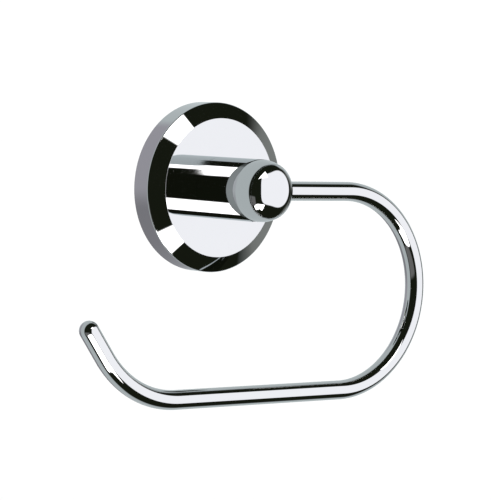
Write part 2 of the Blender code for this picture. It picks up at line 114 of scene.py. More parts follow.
# Arm
LOWER_LEG_END = -31.7
LEFT_BEND = 34.3
LEFT_ANGLE = radians(54)
TIP_LENGTH = 10.4
PIVOT_RADIUS = 2.2
PIVOT_END = -7.0
SHOULDER = 8.9
GROOVE_RADIUS = 1.5
GROOVE_HALF_WIDTH = 1.4

# Fixings
SCREW_TOP = 4.7
PIN_HEIGHT = 6.6
PIN_BORE = 1.3
GRUB_DEPTH = 2.9
SOCKET = 1.15

# Facets
FINE = 384
SMALL = 96
ROD_SIDES = 96
CORNER_STEPS = 6
HOLD = 0.04  # how near a straight's ends its held points are
SHARP = radians(28)  # edges sharper than this are shaded as edges

# Camera: where the photograph was taken from
CAMERA_AZIMUTH = radians(-39.94)
CAMERA_ELEVATION = radians(3.32)
CAMERA_ROLL = radians(2.0)
CAMERA_DISTANCE = 0.812
CAMERA_LENS = 182.96
CAMERA_AIM = Vector((0, -0.020, 0))
CAMERA_SLIDE_RIGHT = 0.00165
CAMERA_SLIDE_UP = -0.01937

FLOOR_DROP = 0.05
FLOOR_SIZE = 6

# Light that polished metal mirrors, by where it comes from
CHROME = 0.57
ROOM_GREY = (0.64, 0.71, 0.73, 1)
RIGHT_GREY = (0.34, 0.36, 0.35, 1)
LEFT_GREY = (0.48, 0.475, 0.53, 1)
LOW_GREY = (0.30, 0.30, 0.33, 1)
STRIP_GREY = (0.92, 1.03, 1.08, 1)
DARK = (0.0125, 0.0155, 0.009, 1)
SIDE_PANEL = (1.49, 1.51, 1.58, 1)
KEY_PANEL = (5, 5, 5, 1)
FILL_CARD = (0.2, 0.2, 0.2, 1)
BACKDROP = (1.06, 1.06, 1.06, 1)  # what the eye and matt surfaces see instead

# Where the lights are, in degrees: azimuth from the front towards +X, then elevation
SIDE_MIDDLE = (37, 4)
SIDE_HALF_SIZE = (44, 34)
SIDE_ROUNDNESS = 2.35
SIDE_SQUARENESS = 6.0
SIDE_EDGE = (1.06, 0.94)  # out of reach and in full light, in half sizes
CARD_SPAN = ((-85, -30), (-50, -16))
CARD_SOFT = 6
KEY_SOFT = 2
# (left, right), (bottom, top), slope, (lowest, highest) across the slope
KEY_SPANS = (
    ((-17, 16), (30.5, 50), 0.41, (20, 38)),
    ((-12, 9), (-47, -31), 0.0, (-60, 0)),
    ((-56, -11), (-65, -31), 0.45, (-46, -26)),
)

# Where a double reflection's bands start, along X: (mirrored, plain, below)
KEY_START = (-0.22, -0.43, -0.39)
KEY_END = (-0.05, 0.0, 0.18)
GREY_START = (-0.05, 0.32, 0.50)
IMAGE_END = (-0.7785, -0.7775)  # the mirrored bands lie below this along Y, the plain ones above


# ---------------------------------------------------------------- node helpers


def link_or_set(tree, socket, value):
    if isinstance(value, bpy.types.NodeSocket):
        tree.links.new(value, socket)
    else:
        socket.default_value = value


def maths(tree, operation, *values, clamp=False):
    node = tree.nodes.new("ShaderNodeMath")
    node.operation = operation
    node.use_clamp = clamp
    for socket, value in zip(node.inputs, values):
        link_or_set(tree, socket, value)
    return node.outputs[0]


def smooth_rise(tree, value, low, high):
    """0 below low, 1 above high, with a smooth step between; low may be above high."""
    node = tree.nodes.new("ShaderNodeMapRange")
    node.interpolation_type = "SMOOTHSTEP"
    link_or_set(tree, node.inputs["Value"], value)
    node.inputs["From Min"].default_value = low
    node.inputs["From Max"].default_value = high
    return node.outputs["Result"]


def linear_map(tree, value, low, high, to_low, to_high):
    node = tree.nodes.new("ShaderNodeMapRange")
    link_or_set(tree, node.inputs["Value"], value)
    node.inputs["From Min"].default_value = low
    node.inputs["From Max"].default_value = high
    node.inputs["To Min"].default_value = to_low
    node.inputs["To Max"].default_value = to_high
    return node.outputs["Result"]


def band(tree, value, low, high, soft):
    """1 between low and high, with edges soft wide."""
    rise = smooth_rise(tree, value, low - soft / 2, low + soft / 2)
    fall = smooth_rise(tree, value, high + soft / 2, high - soft / 2)
    return maths(tree, "MULTIPLY", rise, fall)


def mix_value(tree, factor, first, second):
    node = tree.nodes.new("ShaderNodeMix")
    link_or_set(tree, node.inputs["Factor"], factor)
    link_or_set(tree, node.inputs["A"], first)
    link_or_set(tree, node.inputs["B"], second)
    return node.outputs["Result"]


def mix_colour(tree, factor, first, second):
    node = tree.nodes.new("ShaderNodeMix")
    node.data_type = "RGBA"
    link_or_set(tree, node.inputs["Factor"], factor)
    link_or_set(tree, node.inputs["A"], first)
    link_or_set(tree, node.inputs["B"], second)
    return node.outputs["Result"]


# ---------------------------------------------------------------- studio


def add_camera():
    azimuth, elevation = CAMERA_AZIMUTH, CAMERA_ELEVATION
    back = Vector((sin(azimuth) * cos(elevation), -cos(azimuth) * cos(elevation), sin(elevation)))
    right = (-back).cross(UP).normalized()
    up = right.cross(-back)
    rolled_right = right * cos(CAMERA_ROLL) + up * sin(CAMERA_ROLL)
    rolled_up = up * cos(CAMERA_ROLL) - right * sin(CAMERA_ROLL)
    place = CAMERA_AIM + back * CAMERA_DISTANCE
    place += rolled_right * CAMERA_SLIDE_RIGHT + rolled_up * CAMERA_SLIDE_UP
    camera = bpy.data.objects.new("camera", bpy.data.cameras.new("camera"))
    camera.data.lens = CAMERA_LENS
    camera.data.sensor_width = 36
    camera.data.clip_start = 0.01
    camera.data.clip_end = 50
    turn = Matrix((rolled_right, rolled_up, back)).transposed().to_4x4()
    camera.matrix_world = Matrix.Translation(place) @ turn
    bpy.context.scene.collection.objects.link(camera)
    bpy.context.scene.camera = camera


def span(tree, value, edges, soft):
    """1 between two edges, which are given in degrees like soft."""
    low, high = edges
    return band(tree, value, radians(low), radians(high), radians(soft))


def room_light(tree, x, y, z):
    """A grey room behind, darker at the right and low down, and a dark one in front.

    x, y and z are the parts of the direction that the light comes from, each from -1 to 1.
    """
    deep = smooth_rise(tree, y, 0.755, 0.79)
    leftward = smooth_rise(tree, x, 0.14, -0.06)
    low = smooth_rise(tree, z, -0.02, -0.36)
    left = maths(tree, "MULTIPLY", deep, leftward)
    room = mix_colour(tree, left, ROOM_GREY, LEFT_GREY)
    room = mix_colour(tree, maths(tree, "MULTIPLY", deep, low), room, LOW_GREY)

    height = maths(tree, "ABSOLUTE", maths(tree, "ADD", z, 0.05))
    height = maths(tree, "MINIMUM", height, 0.35)
    height = maths(tree, "MULTIPLY", height, smooth_rise(tree, x, 0.68, 0.85))
    right_depth = maths(tree, "MULTIPLY_ADD", height, 0.6, y)
    right_behind = smooth_rise(tree, right_depth, 0.0, 0.22)
    beside = smooth_rise(tree, right_depth, 0.35, 0.15)
    near = maths(tree, "MULTIPLY", beside, smooth_rise(tree, x, 0.8, 0.9))
    room = mix_colour(tree, near, room, RIGHT_GREY)
    left_behind = smooth_rise(tree, y, -0.02, 0.12)
    on_right = smooth_rise(tree, x, -0.1, 0.1)
    behind = mix_value(tree, on_right, left_behind, right_behind)
    return mix_colour(tree, behind, DARK, room)


def side_panel(tree, azimuth, elevation):
    """1 on the big panel: straight on its left, rounded off on its right."""
    middle = [radians(angle) for angle in SIDE_MIDDLE]
    half = [radians(angle) for angle in SIDE_HALF_SIZE]
    across = maths(tree, "DIVIDE", maths(tree, "SUBTRACT", azimuth, middle[0]), half[0])
    up = maths(tree, "DIVIDE", maths(tree, "SUBTRACT", elevation, middle[1]), half[1])
    leftward = maths(tree, "MAXIMUM", maths(tree, "MULTIPLY", across, -1.0), 0.0)
    rightward = maths(tree, "MAXIMUM", across, 0.0)
    right = maths(tree, "POWER", rightward, SIDE_ROUNDNESS)
    left = maths(tree, "POWER", leftward, SIDE_SQUARENESS)
    height = maths(tree, "POWER", maths(tree, "ABSOLUTE", up), SIDE_ROUNDNESS)
    edge = maths(tree, "ADD", maths(tree, "ADD", right, left), height)
    return smooth_rise(tree, edge, *SIDE_EDGE)


def studio_light(tree, x, y, z):
    """What a first reflection meets: the room, the side panel, a card and the key panels."""
    front = maths(tree, "MULTIPLY", y, -1.0)
    azimuth = maths(tree, "ARCTAN2", x, front)
    elevation = maths(tree, "ARCSINE", z)
    colour = room_light(tree, x, y, z)
    colour = mix_colour(tree, side_panel(tree, azimuth, elevation), colour, SIDE_PANEL)
    card_width = span(tree, azimuth, CARD_SPAN[0], CARD_SOFT)
    card_height = span(tree, elevation, CARD_SPAN[1], CARD_SOFT)
    card = maths(tree, "MULTIPLY", card_width, card_height)
    colour = mix_colour(tree, card, colour, FILL_CARD)
    for sides, ends, slope, slant in KEY_SPANS:
        across = maths(tree, "MULTIPLY_ADD", azimuth, -slope, elevation)
        width = span(tree, azimuth, sides, KEY_SOFT)
        height = span(tree, elevation, ends, KEY_SOFT)
        panel = maths(tree, "MULTIPLY", width, height)
        panel = maths(tree, "MULTIPLY", panel, span(tree, across, slant, KEY_SOFT))
        colour = mix_colour(tree, panel, colour, KEY_PANEL)
    return colour


def second_light(tree, x, y, z):
    """What light reflected by both the rosette's face and the post meets.

    This is a stand-in for panels that stand close to the holder, not a real studio: its bands
    and the split at IMAGE_END, where the post's image in the face ends and the post itself
    begins, are placed for the photograph's camera. In other views they fall elsewhere.
    """
    upper = smooth_rise(tree, z, -0.02, 0.02)
    direct = smooth_rise(tree, y, *IMAGE_END)

    def edge(mirrored, plain, below):
        above = mix_value(tree, direct, mirrored, plain)
        place = mix_value(tree, upper, below, above)
        return smooth_rise(tree, maths(tree, "SUBTRACT", x, place), -0.02, 0.02)

    colour = mix_colour(tree, edge(*KEY_START), DARK, KEY_PANEL)
    colour = mix_colour(tree, edge(*KEY_END), colour, DARK)
    colour = mix_colour(tree, edge(*GREY_START), colour, STRIP_GREY)
    in_front = smooth_rise(tree, y, -0.75, -0.765)
    to_right = smooth_rise(tree, x, 0.2, 0.4)
    to_wall = smooth_rise(tree, y, 0.2, 0.35)
    dark = maths(tree, "MAXIMUM", to_right, to_wall)
    elsewhere = mix_colour(tree, dark, room_light(tree, x, y, z), DARK)
    return mix_colour(tree, in_front, elsewhere, colour)


def add_world():
    """Light by what a ray has met: the eye and matt surfaces see plain white, a first mirror
    reflection the studio, a second one its stand-in, and any further one only the dark."""
    world = bpy.data.worlds.new("studio")
    bpy.context.scene.world = world
    world.use_nodes = True
    tree = world.node_tree
    background = tree.nodes["Background"]
    rays = tree.nodes.new("ShaderNodeLightPath")
    split = tree.nodes.new("ShaderNodeSeparateXYZ")
    direction = tree.nodes.new("ShaderNodeTexCoord").outputs["Generated"]
    tree.links.new(direction, split.inputs[0])
    x, y, z = split.outputs
    twice = smooth_rise(tree, rays.outputs["Glossy Depth"], 1.4, 1.6)
    panels = mix_colour(tree, twice, studio_light(tree, x, y, z), second_light(tree, x, y, z))
    more = smooth_rise(tree, rays.outputs["Glossy Depth"], 2.4, 2.6)
    panels = mix_colour(tree, more, panels, DARK)
    seen = mix_colour(tree, rays.outputs["Is Glossy Ray"], BACKDROP, panels)
    tree.links.new(seen, background.inputs["Color"])
    bpy.context.scene.view_settings.view_transform = "Standard"


def add_floor():
    """A wide pale floor below the arm; polished metal doesn't mirror it."""
    height = cad_box[0].z - FLOOR_DROP
    mesh = bpy.data.meshes.new("floor")
    corners = [(-FLOOR_SIZE, -FLOOR_SIZE, height), (FLOOR_SIZE, -FLOOR_SIZE, height)]
    corners += [(FLOOR_SIZE, FLOOR_SIZE, height), (-FLOOR_SIZE, FLOOR_SIZE, height)]
    mesh.from_pydata(corners, [], [(0, 1, 2, 3)])
    floor = bpy.data.objects.new("floor", mesh)
    bpy.context.scene.collection.objects.link(floor)
    floor.visible_glossy = False
    surface, tree, shader = new_surface("floor", (0.98, 0.98, 0.98), 0.9, 0)
    grain = noise(tree, 30, 4)
    shade = mix_colour(tree, grain, (0.975, 0.975, 0.975, 1), (0.99, 0.99, 0.99, 1))
    tree.links.new(shade, shader.inputs["Base Color"])
    shader.inputs["Specular IOR Level"].default_value = 0
    mesh.materials.append(surface)


# ---------------------------------------------------------------- materials


def new_surface(name, colour, roughness, metallic):
    made = bpy.data.materials.new(name)
    made.use_nodes = True
    shader = made.node_tree.nodes["Principled BSDF"]
    shader.inputs["Base Color"].default_value = (*colour, 1)
    shader.inputs["Roughness"].default_value = roughness
    shader.inputs["Metallic"].default_value = metallic
    return made, made.node_tree, shader


def object_space(tree, stretch=(1, 1, 1)):
    """Object coordinates in metres, stretched for streaks."""
    source = tree.nodes.new("ShaderNodeTexCoord").outputs["Object"]
    mapping = tree.nodes.new("ShaderNodeMapping")
    mapping.inputs["Scale"].default_value = stretch
    tree.links.new(source, mapping.inputs["Vector"])
    return mapping.outputs["Vector"]


def noise(tree, scale, detail, stretch=(1, 1, 1)):
    """Noise with scale features per metre."""
    node = tree.nodes.new("ShaderNodeTexNoise")
    node.inputs["Scale"].default_value = scale
    node.inputs["Detail"].default_value = detail
    tree.links.new(object_space(tree, stretch), node.inputs["Vector"])
    return node.outputs["Fac"]


def add_bump(tree, shader, height, strength, distance):
    bump = tree.nodes.new("ShaderNodeBump")
    bump.inputs["Strength"].default_value = strength
    bump.inputs["Distance"].default_value = distance
    tree.links.new(height, bump.inputs["Height"])
    tree.links.new(bump.outputs["Normal"], shader.inputs["Normal"])


def chrome():
    """Mirror-polished chrome plate with a faint haze and hairline polishing marks."""
    made, tree, shader = new_surface("chrome_plate", (CHROME, CHROME, CHROME), 0.02, 1)
    haze = noise(tree, 90, 5)
    low, high = 0.99 * CHROME, 1.01 * CHROME
    tint = mix_colour(tree, haze, (low, low, low, 1), (high, high, high, 1))
    tree.links.new(tint, shader.inputs["Base Color"])
    marks = noise(tree, 900, 6, (1, 1, 6))
    smear = maths(tree, "MULTIPLY", haze, marks)
    tree.links.new(linear_map(tree, smear, 0.15, 0.45, 0.012, 0.035), shader.inputs["Roughness"])
    add_bump(tree, shader, noise(tree, 2500, 3), 0.02, 0.00001)
    return made


def dull_plate():
    """The unpolished inner side of the chromed cover."""
    made, tree, shader = new_surface("dull_plate", (0.55, 0.55, 0.56), 0.38, 1)
    cloud = noise(tree, 220, 6)
    tone = mix_colour(tree, cloud, (0.46, 0.46, 0.47, 1), (0.62, 0.62, 0.63, 1))
    tree.links.new(tone, shader.inputs["Base Color"])
    tree.links.new(linear_map(tree, cloud, 0.3, 0.7, 0.3, 0.5), shader.inputs["Roughness"])
    add_bump(tree, shader, noise(tree, 1800, 4), 0.35, 0.00004)
    return made


def cast_zinc():
    """Bare zinc die casting: mottled grey skin with fine grain."""
    made, tree, shader = new_surface("cast_zinc", (0.5, 0.51, 0.52), 0.45, 1)
    cloud = noise(tree, 150, 6)
    tone = mix_colour(tree, cloud, (0.40, 0.41, 0.42, 1), (0.60, 0.61, 0.61, 1))
    tree.links.new(tone, shader.inputs["Base Color"])
    tree.links.new(linear_map(tree, cloud, 0.3, 0.7, 0.36, 0.56), shader.inputs["Roughness"])
    grain = noise(tree, 2600, 5)
    add_bump(tree, shader, grain, 0.5, 0.00005)
    return made


def plated_steel():
    """Zinc-plated screw steel: bright, slightly blue, with turning marks."""
    made, tree, shader = new_surface("plated_steel", (0.66, 0.67, 0.69), 0.24, 1)
    cloud = noise(tree, 500, 4)
    tone = mix_colour(tree, cloud, (0.60, 0.61, 0.64, 1), (0.73, 0.73, 0.72, 1))
    tree.links.new(tone, shader.inputs["Base Color"])
    marks = noise(tree, 1500, 3, (1, 8, 1))
    tree.links.new(linear_map(tree, marks, 0.3, 0.7, 0.18, 0.34), shader.inputs["Roughness"])
    add_bump(tree, shader, marks, 0.2, 0.00002)
    return made


def nylon():
    """Moulded natural nylon, slightly translucent, with a fine spark-eroded texture."""
    made, tree, shader = new_surface("nylon", (0.62, 0.62, 0.60), 0.5, 0)
    cloud = noise(tree, 260, 4)
    tone = mix_colour(tree, cloud, (0.58, 0.58, 0.56, 1), (0.68, 0.68, 0.66, 1))
    tree.links.new(tone, shader.inputs["Base Color"])
    tree.links.new(linear_map(tree, cloud, 0.3, 0.7, 0.42, 0.6), shader.inputs["Roughness"])
    shader.inputs["Subsurface Weight"].default_value = 0.15
    shader.inputs["Subsurface Scale"].default_value = 0.001
    add_bump(tree, shader, noise(tree, 3200, 4), 0.3, 0.00003)
    return made


# ---------------------------------------------------------------- mesh helpers


def finish_mesh(name, mesh, surface):
    mesh.shade_smooth()
    mesh.set_sharp_from_angle(angle=SHARP)
    obj = bpy.data.objects.new(name, mesh)
    bpy.context.scene.collection.objects.link(obj)
    mesh.materials.append(surface)
    return obj


def closed_mesh(name, verts, faces):
    """A mesh whose faces all look outwards."""
    mesh = bpy.data.meshes.new(name)
    mesh.from_pydata(verts, [], faces)
    bm = bmesh.new()
    bm.from_mesh(mesh)
    bmesh.ops.recalc_face_normals(bm, faces=bm.faces)
    bm.to_mesh(mesh)
    bm.free()
    return mesh


def rounded(points):
    """Turns (along, radius, corner) points into a profile with its corners rounded off."""
    flat = []
    count = len(points)
    for index, (along, radius, corner) in enumerate(points):
        here = Vector((along, radius))
        if corner == 0:
            flat.append(here)
            continue
        before = Vector(points[index - 1][:2]) - here
        after = Vector(points[(index + 1) % count][:2]) - here
        before.normalize()
        after.normalize()
        half = before.angle(after) / 2
        reach = corner / max(sin(half), 1e-6) * cos(half)
        centre = here + (before + after).normalized() * (corner / sin(half))
        start = here + before * reach - centre
        sweep = start.angle_signed(here + after * reach - centre)
        for step in range(CORNER_STEPS + 1):
            turn = Matrix.Rotation(-sweep * step / CORNER_STEPS, 2)
            flat.append(centre + turn @ start)
    return [(point.x, point.y) for point in flat]


def arc(centre_along, centre_radius, radius, first, last, steps):
    """Points on a profile's arc; an angle of 90 degrees faces away from the axis."""
    angles = [first + (last - first) * step / steps for step in range(steps + 1)]
    return [(centre_along + radius * cos(a), centre_radius + radius * sin(a)) for a in angles]


def axis_matrix(centre, direction):
    """Takes +Z to direction and the origin to centre, a point in millimetres."""
    turn = UP.rotation_difference(direction).to_matrix().to_4x4()
    return Matrix.Translation(Vector(centre) * MM) @ turn


def thread_cut(along, angle, thread):
    """How deep a thread cuts at this place: (start, end, pitch, depth), all in millimetres."""
    start, end, pitch, depth = thread
    if not start <= along <= end:
        return 0
    phase = (along / pitch - angle / (2 * pi)) % 1
    ridge = min(abs(phase - 0.5) * 2.6, 1)
    fade = min((along - start) / pitch, (end - along) / pitch, 1)
    return depth * ridge * max(fade, 0)


def with_thread_rings(profile, thread, rings_per_turn):
    """Adds points to the profile's straight stretch under the thread."""
    start, end, pitch, _ = thread
    dense = []
    for (a0, r0), (a1, r1) in zip(profile, profile[1:]):
        dense.append((a0, r0))
        low, high = max(min(a0, a1), start), min(max(a0, a1), end)
        if high - low > pitch / 2:
            count = int((high - low) / pitch * rings_per_turn)
            for step in range(count + 1):
                share = (low + (high - low) * step / count - a0) / (a1 - a0)
                if 0 < share < 1:
                    dense.append((a0 + (a1 - a0) * share, r0 + (r1 - r0) * share))
    dense.append(profile[-1])
    order = [dense[0]]
    for point in dense[1:]:
        if (Vector(point) - Vector(order[-1])).length > 1e-6:
            order.append(point)
    return order


def held(profile, closed):
    """Adds a point close to each end of a long straight, so that it is shaded as a straight."""
    following = profile[1:] + (profile[:1] if closed else [])
    points = []
    for first, last in zip(profile, following):
        points.append(first)
        first, last = Vector(first), Vector(last)
        length = (last - first).length
        if length > 10 * HOLD:
            step = (last - first) * HOLD / length
            points += [tuple(first + step), tuple(last - step)]
    if not closed:
        points.append(profile[-1])
    return points


def lathe_mesh(name, profile, centre, direction, sides, thread=None):
    """A turned solid. A profile that starts and ends on the axis is open; any other is a loop."""
    open_ended = profile[0][1] == 0 and profile[-1][1] == 0
    profile = held(profile, not open_ended)
    if thread:
        profile = with_thread_rings(profile, thread, 9)
    place = axis_matrix(centre, direction)
    verts, rings = [], []
    for along, radius in profile:
        if radius == 0:
            rings.append([len(verts)] * sides)
            verts.append(place @ Vector((0, 0, along * MM)))
            continue
        rings.append(list(range(len(verts), len(verts) + sides)))
        for side in range(sides):
            angle = 2 * pi * side / sides
            reach = (radius - (thread_cut(along, angle, thread) if thread else 0)) * MM
            verts.append(place @ Vector((reach * cos(angle), reach * sin(angle), along * MM)))
    pairs = list(zip(rings, rings[1:]))
    if not open_ended:
        pairs.append((rings[-1], rings[0]))
    faces = []
    for near, far in pairs:
        for side in range(sides):
            after = (side + 1) % sides
            corners = [near[side], near[after], far[after], far[side]]
            unique = list(dict.fromkeys(corners))
            if len(unique) > 2:
                faces.append(unique)
    return closed_mesh(name, verts, faces)


def lathe(name, profile, surface, centre=(0, 0, 0), direction=OUT_OF_WALL, sides=SMALL, thread=None):
    mesh = lathe_mesh(name, profile, centre, direction, sides, thread)
    return finish_mesh(name, mesh, surface)


def drill_profile(radius, start, end, countersink=0):
    """A straight drill, with a small chamfer left at its end if asked for."""
    profile = [(start, 0), (start, radius)]
    if countersink:
        profile += [(end - countersink, radius), (end, radius + countersink)]
        profile += [(end + 3, radius + countersink), (end + 3, 0)]
        return profile
    return profile + [(end, radius), (end, 0)]


def carve(target, cutters):
    """Cuts the cutters out of target and keeps the result as its mesh."""
    for cutter in cutters:
        tool = bpy.data.objects.new("cutter", cutter)
        bpy.context.scene.collection.objects.link(tool)
        boolean = target.modifiers.new("cut", "BOOLEAN")
        boolean.operation = "DIFFERENCE"
        boolean.solver = "EXACT"
        boolean.object = tool
        graph = bpy.context.evaluated_depsgraph_get()
        made = bpy.data.meshes.new_from_object(target.evaluated_get(graph))
        target.modifiers.clear()
        old = target.data
        target.data = made
        bpy.data.meshes.remove(old)
        bpy.data.objects.remove(tool)
        bpy.data.meshes.remove(cutter)
    target.data.shade_smooth()
    target.data.set_sharp_from_angle(angle=SHARP)


def block_mesh(size, place):
    """A cutter block of that size in millimetres, moved and turned by the matrix place."""
    bm = bmesh.new()
    bmesh.ops.create_cube(bm, size=1)
    bmesh.ops.scale(bm, vec=Vector(size) * MM, verts=bm.verts)
    bmesh.ops.transform(bm, matrix=place, verts=bm.verts)
    mesh = bpy.data.meshes.new("block")
    bm.to_mesh(mesh)
    bm.free()
    return mesh


def place_piece(obj, body, node):
    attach(obj, body)
    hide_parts(node)


# ---------------------------------------------------------------- rosette and post


def add_rosette(bright, dull):
    underside = ROSETTE_DEPTH - FACE_THICKNESS
    corner_depth, corner_radius = INNER_CORNER
    profile = rounded([
        (0, ROSETTE_RADIUS, 0.25),
        (SIDE_DEPTH, ROSETTE_RADIUS, 0.45),
        (ROSETTE_DEPTH, FACE_RADIUS, 0.15),
        (ROSETTE_DEPTH, FACE_HOLE, 0.1),
        (underside, FACE_HOLE, 0.1),
        (underside, INNER_RADIUS - corner_radius, 0.8),
        (underside - corner_depth, INNER_RADIUS, 0.8),
        (0, INNER_RADIUS, 0.2),
    ])
    rosette = lathe("rosette_shell", profile, bright, sides=FINE)
    rosette.data.materials.append(dull)
    pin_axis = (0, 0, PIN_HEIGHT)
    pin_hole = lathe_mesh("pin", drill_profile(PIN_BORE, 7, 11), pin_axis, OUT_OF_WALL, SMALL)
    grub = drill_profile(2.2, 22, ROSETTE_RADIUS - 0.25, 0.3)
    grub_hole = lathe_mesh("grub", grub, (0, -GRUB_DEPTH, 0), DOWN, SMALL)
    carve(rosette, [pin_hole, grub_hole])
    inside = (INNER_RADIUS + 0.2) * MM
    for face in rosette.data.polygons:
        reach = sqrt(face.center.x**2 + face.center.z**2)
        behind_face = -face.center.y < (ROSETTE_DEPTH - 0.5) * MM
        if reach < inside and behind_face:
            face.material_index = 1
    place_piece(rosette, FITTING, "rosette")


def side_round_centre():
    """(depth, radius) of the centre of the wide arc at the end of the straight side."""
    return SIDE_ROUND_START, POST_RADIUS - SIDE_ROUND


def edge_round_centre():
    """(depth, radius) of the centre of the tight arc, which carries on from the wide one."""
    along, radius = side_round_centre()
    step = SIDE_ROUND - EDGE_ROUND
    return along + step * cos(SIDE_ROUND_ANGLE), radius + step * sin(SIDE_ROUND_ANGLE)


def add_post(bright):
    along, radius = edge_round_centre()
    seam = along + EDGE_ROUND * cos(SEAM_ANGLE)
    seam_radius = radius + EDGE_ROUND * sin(SEAM_ANGLE)
    base = ROSETTE_DEPTH + SEAM_GAP
    profile = [(base, 0), (base, POST_RADIUS - 0.02), (base + 0.02, POST_RADIUS)]
    profile += [(20, POST_RADIUS)]
    profile += arc(*side_round_centre(), SIDE_ROUND, pi / 2, SIDE_ROUND_ANGLE, 24)
    profile += arc(along, radius, EDGE_ROUND, SIDE_ROUND_ANGLE, SEAM_ANGLE, 10)[1:]
    profile += [(seam - 0.1, seam_radius - 0.12), (seam - 0.1, 6.3), (seam - 1, 6.3)]
    profile += [(seam - 1, 0)]
    post = lathe("post_body", profile, bright, sides=FINE)
    arm_axis = (0, -ARM_DEPTH, 0)
    mouth = drill_profile(ROD_RADIUS + 0.12, PIVOT_END - 0.3, POST_RADIUS - 0.25, 0.12)
    cutters = [
        lathe_mesh("bore", mouth, arm_axis, RIGHT, SMALL),
        lathe_mesh("screw", drill_profile(2.15, 2, POST_RADIUS - 0.3, 0.25), arm_axis, DOWN, SMALL),
        lathe_mesh("tapped", drill_profile(2.6, 8, 22), (0, 0, 0), OUT_OF_WALL, SMALL),
        lathe_mesh("pin", drill_profile(PIN_BORE, 8, 16), (0, 0, PIN_HEIGHT), OUT_OF_WALL, SMALL),
    ]
    carve(post, cutters)
    place_piece(post, FITTING, "post")


def add_end_cap(bright):
    along, radius = edge_round_centre()
    back = along + EDGE_ROUND * cos(SEAM_ANGLE) + SEAM_GAP
    first = acos((back - along) / EDGE_ROUND)
    edge = arc(along, radius, EDGE_ROUND, first, DOME_ANGLE, 24)
    start, edge_radius = edge[-1]
    dome_radius = edge_radius / sin(DOME_ANGLE)
    centre = start - dome_radius * cos(DOME_ANGLE)
    dome = arc(centre, 0, dome_radius, DOME_ANGLE, 0, 40)
    dome[-1] = (dome[-1][0], 0)
    outer = edge[0][1]
    profile = [(back - 0.9, 0), (back - 0.9, 6.2), (back, 6.2), (back, outer - 0.1)]
    profile += [(back + 0.03, outer - 0.03)] + edge[1:] + dome[1:]
    cap = lathe("end_cap_dome", profile, bright, sides=FINE)
    place_piece(cap, FITTING, "end_cap")


# ---------------------------------------------------------------- arm


def arm_line():
    """(point, direction) stations in millimetres along the bent rod, outside the post."""
    stations = []
    straight_steps = 8
    for step in range(straight_steps):
        x = SHOULDER + (TOP_LEG_END - SHOULDER) * step / straight_steps
        stations.append((Vector((x, 0, 0)), RIGHT))
    centre = Vector((TOP_LEG_END, 0, -RIGHT_BEND))
    steps = 160
    for step in range(steps + 1):
        angle = pi * step / steps
        out = Vector((sin(angle), 0, cos(angle)))
        stations.append((centre + RIGHT_BEND * out, Vector((cos(angle), 0, -sin(angle)))))
    lower = -2 * RIGHT_BEND
    for step in range(1, 12):
        x = TOP_LEG_END + (LOWER_LEG_END - TOP_LEG_END) * step / 12
        stations.append((Vector((x, 0, lower)), -RIGHT))
    centre = Vector((LOWER_LEG_END, 0, lower + LEFT_BEND))
    steps = 60
    for step in range(steps + 1):
        angle = LEFT_ANGLE * step / steps
        out = Vector((-sin(angle), 0, -cos(angle)))
        stations.append((centre + LEFT_BEND * out, Vector((-cos(angle), 0, sin(angle)))))
    end, along = stations[-1]
    for step in range(1, 5):
        stations.append((end + along * TIP_LENGTH * step / 4, along))
    return stations


def arm_rings():
    """(point, direction, radius) from the pivot's inner end to the round tip."""
    pivot = [
        (PIVOT_END, 0),
        (PIVOT_END, PIVOT_RADIUS - 0.3),
        (PIVOT_END + 0.3, PIVOT_RADIUS),
        (-GROOVE_HALF_WIDTH, PIVOT_RADIUS),
        (-GROOVE_HALF_WIDTH, GROOVE_RADIUS),
        (GROOVE_HALF_WIDTH, GROOVE_RADIUS),
        (GROOVE_HALF_WIDTH, PIVOT_RADIUS),
        (SHOULDER - 0.2, PIVOT_RADIUS),
        (SHOULDER - 0.2, ROD_RADIUS - 0.2),
    ]
    rings = [(Vector((x, 0, 0)), RIGHT, radius) for x, radius in pivot]
    rings += [(point, along, ROD_RADIUS) for point, along in arm_line()]
    ball, along, _ = rings[-1]
    steps = 24
    for step in range(1, steps + 1):
        angle = pi / 2 * step / steps
        radius = ROD_RADIUS * cos(angle) if step < steps else 0
        rings.append((ball + along * ROD_RADIUS * sin(angle), along, radius))
    return rings


def add_arm(bright):
    axis = Vector((0, -ARM_DEPTH, 0))
    verts, rings = [], []
    for centre, along, radius in arm_rings():
        if radius == 0:
            rings.append([len(verts)] * ROD_SIDES)
            verts.append((axis + centre) * MM)
            continue
        rings.append(list(range(len(verts), len(verts) + ROD_SIDES)))
        upwards = along.cross(INTO_WALL)
        for side in range(ROD_SIDES):
            angle = 2 * pi * side / ROD_SIDES
            offset = INTO_WALL * cos(angle) + upwards * sin(angle)
            verts.append((axis + centre + offset * radius) * MM)
    faces = []
    for near, far in zip(rings, rings[1:]):
        for side in range(ROD_SIDES):
            after = (side + 1) % ROD_SIDES
            corners = [near[side], near[after], far[after], far[side]]
            faces.append(list(dict.fromkeys(corners)))
    rod = finish_mesh("arm_bent_rod", closed_mesh("arm", verts, faces), bright)
    place_piece(rod, ARM, "arm_rod")


# ---------------------------------------------------------------- fixing behind the rosette


